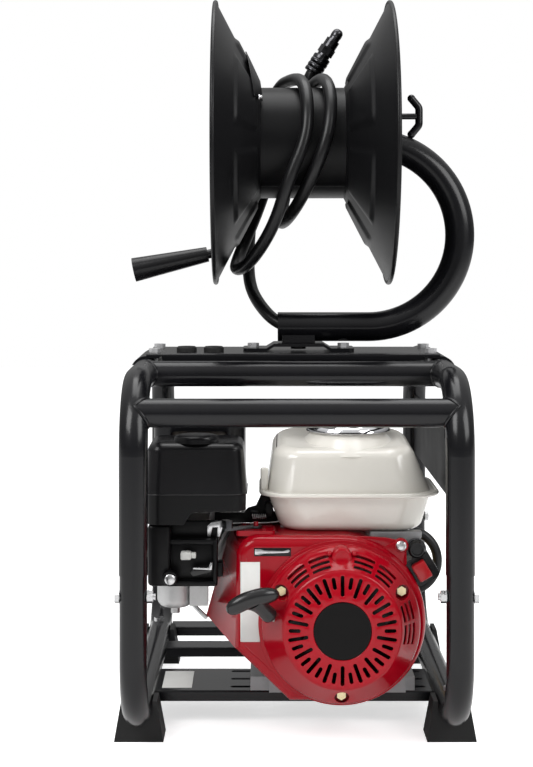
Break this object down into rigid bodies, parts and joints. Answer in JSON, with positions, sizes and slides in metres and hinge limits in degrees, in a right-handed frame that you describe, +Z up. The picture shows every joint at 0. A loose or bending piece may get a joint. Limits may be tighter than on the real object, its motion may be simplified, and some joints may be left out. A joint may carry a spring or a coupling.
{
  "type": "gas pressure washer",
  "caption": "Frame-mounted gas pressure washer: an engine and pump in a tube cage, with a swivelling hose reel on top and a recoil starter in front.",
  "frame": {"origin": "on the floor under the middle of the whole part's plan outline", "axes": "+Z up, -Y towards the recoil starter's side, +X to the right as seen from there"},
  "size_m": [0.455, 0.6122, 0.9115],
  "materials": {
    "black_coat": "satin powder coat",
    "red_coat": "gloss paint",
    "white_coat": "gloss paint",
    "chrome": "polished",
    "black_plastic": "fine grain",
    "dark_plastic": "satin",
    "red_plastic": "gloss",
    "rubber": "matt",
    "cord": "braided",
    "zinc": "zinc plated",
    "aluminium": "as cast",
    "brass": "as forged",
    "steel": "heat stained"
  },
  "bodies": {
    "machine": {"base_channels": "black_coat", "bypass_hose": "rubber", "carburettor": "aluminium", "cleaner_case": "black_plastic", "cleaner_cover": "black_plastic", "control_cover": "black_plastic", "crankcase": "aluminium", "cylinder": "aluminium", "engine_bolts": "zinc", "engine_plate": "black_coat", "engine_switch": "black_plastic", "fan_cover": "red_coat", "frame_bolts": "zinc", "front_crossbar": "black_coat", "fuel_tank": "white_coat", "lower_hoop_left": "black_coat", "lower_hoop_right": "black_coat", "muffler": "steel", "muffler_guard": "black_coat", "nozzle_grommets": "rubber", "plate_bolts": "zinc", "pressure_outlet": "zinc", "pump_case": "aluminium", "pump_manifold": "brass", "recoil_badge": "black_plastic", "recoil_bolts": "zinc", "recoil_cover": "red_coat", "reel_bracket": "black_coat", "rocker_cover": "aluminium", "rubber_feet": "rubber", "side_panel": "black_coat", "top_crossbars": "black_coat", "top_plate": "black_coat", "unloader": "brass", "upper_hoop_left": "black_coat", "upper_hoop_right": "black_coat", "water_inlet": "zinc"},
    "arm": {"arm_block": "black_coat", "reel_arm": "black_coat", "reel_axle": "zinc", "jumper_hose": "rubber", "hose_coupler": "zinc"},
    "reel": {"reel_drum": "black_coat", "reel_flange_left": "black_coat", "reel_flange_right": "black_coat", "crank": "black_coat"},
    "grip": {"crank_grip": "dark_plastic"},
    "lock": {"lock_screw": "dark_plastic"},
    "rotor": {"crankshaft": "zinc", "flywheel": "aluminium"},
    "pulley": {"recoil_pulley": "dark_plastic"},
    "starter": {"starter_grip": "dark_plastic", "starter_rope": "cord"},
    "choke": {"choke_lever": "dark_plastic"},
    "fuel_tap": {"fuel_lever": "dark_plastic"},
    "throttle": {"throttle_lever": "zinc"},
    "switch": {"switch_knob": "red_plastic"},
    "cap": {"fuel_cap": "chrome"},
    "pressure_knob": {"unloader_knob": "black_plastic"},
    "oil_filler": {"oil_cap": "black_plastic"}
  },
  "joints": [
    {"name": "reel_swivel", "type": "hinge", "parent": "machine", "child": "arm", "pos_m": [-0.00358, 0, 0.465], "axis": [0, 0, 1], "range_deg": [-180, 180]},
    {"name": "reel_spin", "type": "hinge", "parent": "arm", "child": "reel", "pos_m": [0.00143, 0, 0.7255], "axis": [1, 0, 0], "continuous": true},
    {"name": "crank_grip_spin", "type": "hinge", "parent": "reel", "child": "grip", "pos_m": [-0.12258, 0, 0.5795], "axis": [-0.9781, 0, -0.2079], "continuous": true},
    {"name": "reel_lock_turn", "type": "hinge", "parent": "arm", "child": "lock", "pos_m": [0.09642, 0, 0.7605], "axis": [1, 0, 0], "range_deg": [0, 360]},
    {"name": "crankshaft_spin", "type": "hinge", "parent": "machine", "child": "rotor", "pos_m": [0.04142, -0.0894, 0.147], "axis": [0, 1, 0], "continuous": true},
    {"name": "starter_pull", "type": "slide", "parent": "machine", "child": "starter", "axis": [-0.4974, -0.5862, 0.6395], "range_m": [0, 0.5]},
    {"name": "recoil_turn", "type": "hinge", "parent": "machine", "child": "pulley", "pos_m": [0.04142, -0.2634, 0.147], "axis": [0, 1, 0], "range_deg": [0, 880]},
    {"name": "choke_turn", "type": "hinge", "parent": "machine", "child": "choke", "pos_m": [-0.13958, -0.2174, 0.225], "axis": [0, -1, 0], "range_deg": [-40, 10]},
    {"name": "fuel_tap_turn", "type": "hinge", "parent": "machine", "child": "fuel_tap", "pos_m": [-0.12957, -0.2174, 0.205], "axis": [0, -1, 0], "range_deg": [-60, 10]},
    {"name": "throttle_turn", "type": "hinge", "parent": "machine", "child": "throttle", "pos_m": [-0.05858, -0.1934, 0.254], "axis": [0, 0, 1], "range_deg": [0, 30]},
    {"name": "switch_turn", "type": "hinge", "parent": "machine", "child": "switch", "pos_m": [0.14, -0.2074, 0.20623], "axis": [0, -1, 0], "range_deg": [0, 60]},
    {"name": "fuel_cap_turn", "type": "hinge", "parent": "machine", "child": "cap", "pos_m": [0.05502, -0.1244, 0.375], "axis": [0, 0, 1], "range_deg": [0, 90]},
    {"name": "pressure_turn", "type": "hinge", "parent": "machine", "child": "pressure_knob", "pos_m": [0.11248, 0.06665, 0.24], "axis": [0, 0, 1], "range_deg": [-360, 360]},
    {"name": "oil_filler_turn", "type": "hinge", "parent": "machine", "child": "oil_filler", "pos_m": [-0.04258, -0.0214, 0.087], "axis": [-1, 0, 0], "range_deg": [0, 360]}
  ],
  "couplings": [
    {"joint": "recoil_turn", "follows": "starter_pull", "rad_per_m": 30.534}
  ]
}
